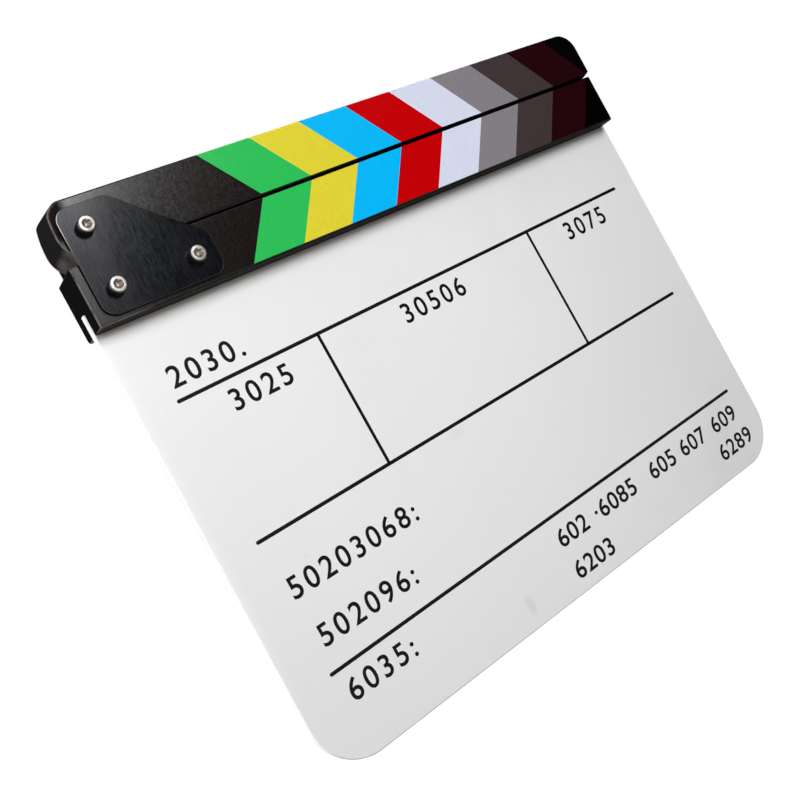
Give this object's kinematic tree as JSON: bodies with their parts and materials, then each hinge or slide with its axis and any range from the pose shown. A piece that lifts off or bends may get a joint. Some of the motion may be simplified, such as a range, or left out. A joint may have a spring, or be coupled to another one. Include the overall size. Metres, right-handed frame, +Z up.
{
  "type": "clapperboard",
  "caption": "White slate panel in a grooved lower stick, with a striped clap stick hinged above it between two black plates, used to mark the start of a film take.",
  "frame": {"origin": "middle of the slate's bottom edge, half way through the slate's thickness", "axes": "+Z up the slate, +X to the reader's right, away from the hinge, and +Y away from the reader"},
  "size_m": [0.3, 0.036, 0.245],
  "materials": {
    "white_acrylic": "glossy white sheet with polished edges",
    "black_wood": "satin black paint over wood",
    "printed_facing": "satin printed film with slanted colour stripes",
    "black_plate": "satin black coating with bare edges",
    "nickel_screw": "bright nickel plating",
    "plated_steel": "zinc plated steel",
    "magnet_nickel": "nickel plated magnet",
    "sleeve_brass": "turned brass",
    "white_nylon": "natural nylon"
  },
  "bodies": {
    "board": {"slate_panel": "white_acrylic", "slate_screws": "plated_steel", "lower_stick": "black_wood", "lower_stick_facing": "printed_facing", "lower_magnet": "magnet_nickel", "front_hinge_plate": "black_plate", "rear_hinge_plate": "black_plate", "plate_screws": "nickel_screw", "plate_washers": "plated_steel", "plate_nuts": "plated_steel", "pivot_screw": "nickel_screw", "pivot_washer": "plated_steel", "pivot_spring_washer": "plated_steel", "pivot_lock_nut": "plated_steel"},
    "clap_stick": {"upper_stick": "black_wood", "upper_stick_facing": "printed_facing", "upper_magnet": "magnet_nickel", "pivot_sleeve": "sleeve_brass", "front_thrust_washer": "white_nylon", "rear_thrust_washer": "white_nylon"}
  },
  "joints": [
    {"name": "clap_hinge", "type": "hinge", "parent": "board", "child": "clap_stick", "pos_m": [-0.1367, 0, 0.231], "axis": [0, -1, 0], "range_deg": [0, 90]}
  ]
}
